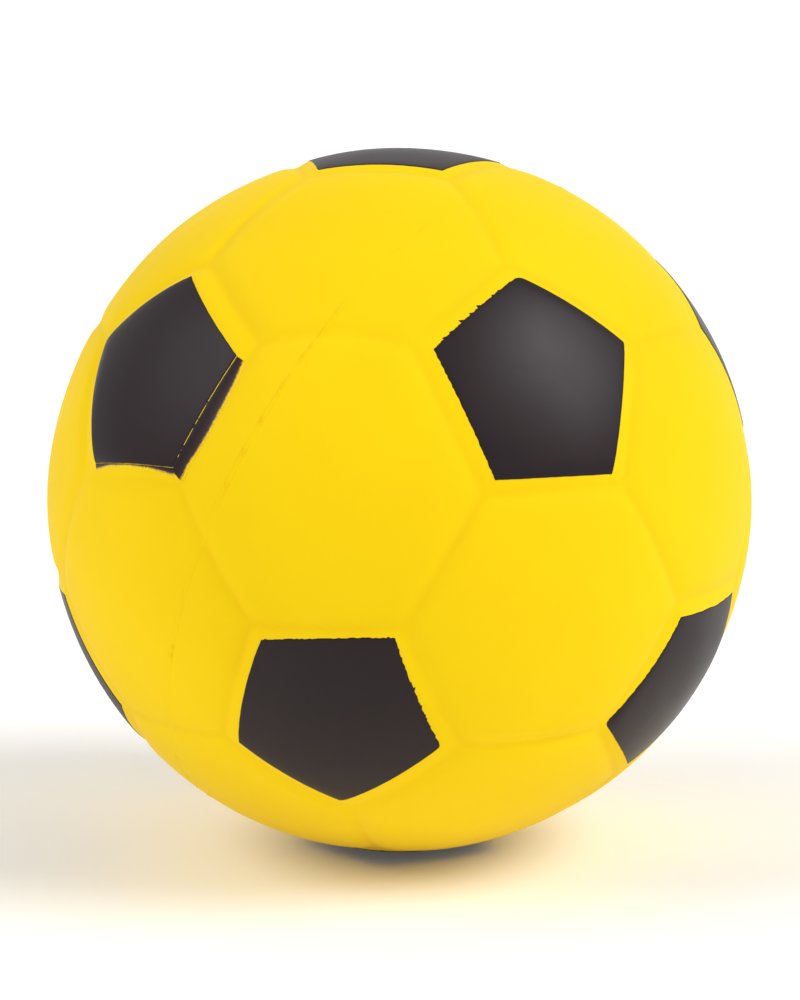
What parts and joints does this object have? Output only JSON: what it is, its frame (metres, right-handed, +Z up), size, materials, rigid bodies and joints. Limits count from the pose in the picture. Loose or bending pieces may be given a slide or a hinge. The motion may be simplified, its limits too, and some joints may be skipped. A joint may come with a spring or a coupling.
{
  "type": "stress ball",
  "caption": "Soft foam stress ball in a football pattern: yellow panelled skin over a foam core, black five-sided marks, a faint mould line. It flattens when squeezed and springs back.",
  "frame": {"origin": "centre of the ball", "axes": "+Z up through the middle of the top black mark, -Y to the front, +X to the right; the mould's axis runs out at the front right, 3.5 degrees from the middle of the lower black mark there"},
  "size_m": [0.0628, 0.0626, 0.063],
  "materials": {
    "yellow_skin": "satin",
    "yellow_foam": "matte",
    "black_paint": "satin"
  },
  "bodies": {
    "core": {"foam_core": "yellow_foam", "parting_flash": "yellow_skin"},
    "right_half": {"skin_half_right": "yellow_skin", "paint_mark_upper_1": "black_paint", "paint_mark_upper_2": "black_paint", "paint_mark_lower_1": "black_paint", "paint_mark_lower_2": "black_paint", "paint_mark_lower_5": "black_paint", "paint_mark_bottom": "black_paint"},
    "left_half": {"skin_half_left": "yellow_skin", "paint_mark_top": "black_paint", "paint_mark_upper_3": "black_paint", "paint_mark_upper_4": "black_paint", "paint_mark_upper_5": "black_paint", "paint_mark_lower_3": "black_paint", "paint_mark_lower_4": "black_paint"}
  },
  "joints": [
    {"name": "squeeze_right", "type": "slide", "parent": "core", "child": "right_half", "axis": [-0.7786, 0.4817, 0.4022], "range_m": [0, 0.01], "stiffness_N_per_m": 3000, "deforming": ["skin_half_right", "foam_core", "parting_flash"]},
    {"name": "squeeze_left", "type": "slide", "parent": "core", "child": "left_half", "axis": [0.7786, -0.4817, -0.4022], "range_m": [0, 0.01], "stiffness_N_per_m": 3000, "deforming": ["skin_half_left"]}
  ],
  "couplings": [
    {"joint": "squeeze_left", "follows": "squeeze_right", "ratio": 1}
  ]
}
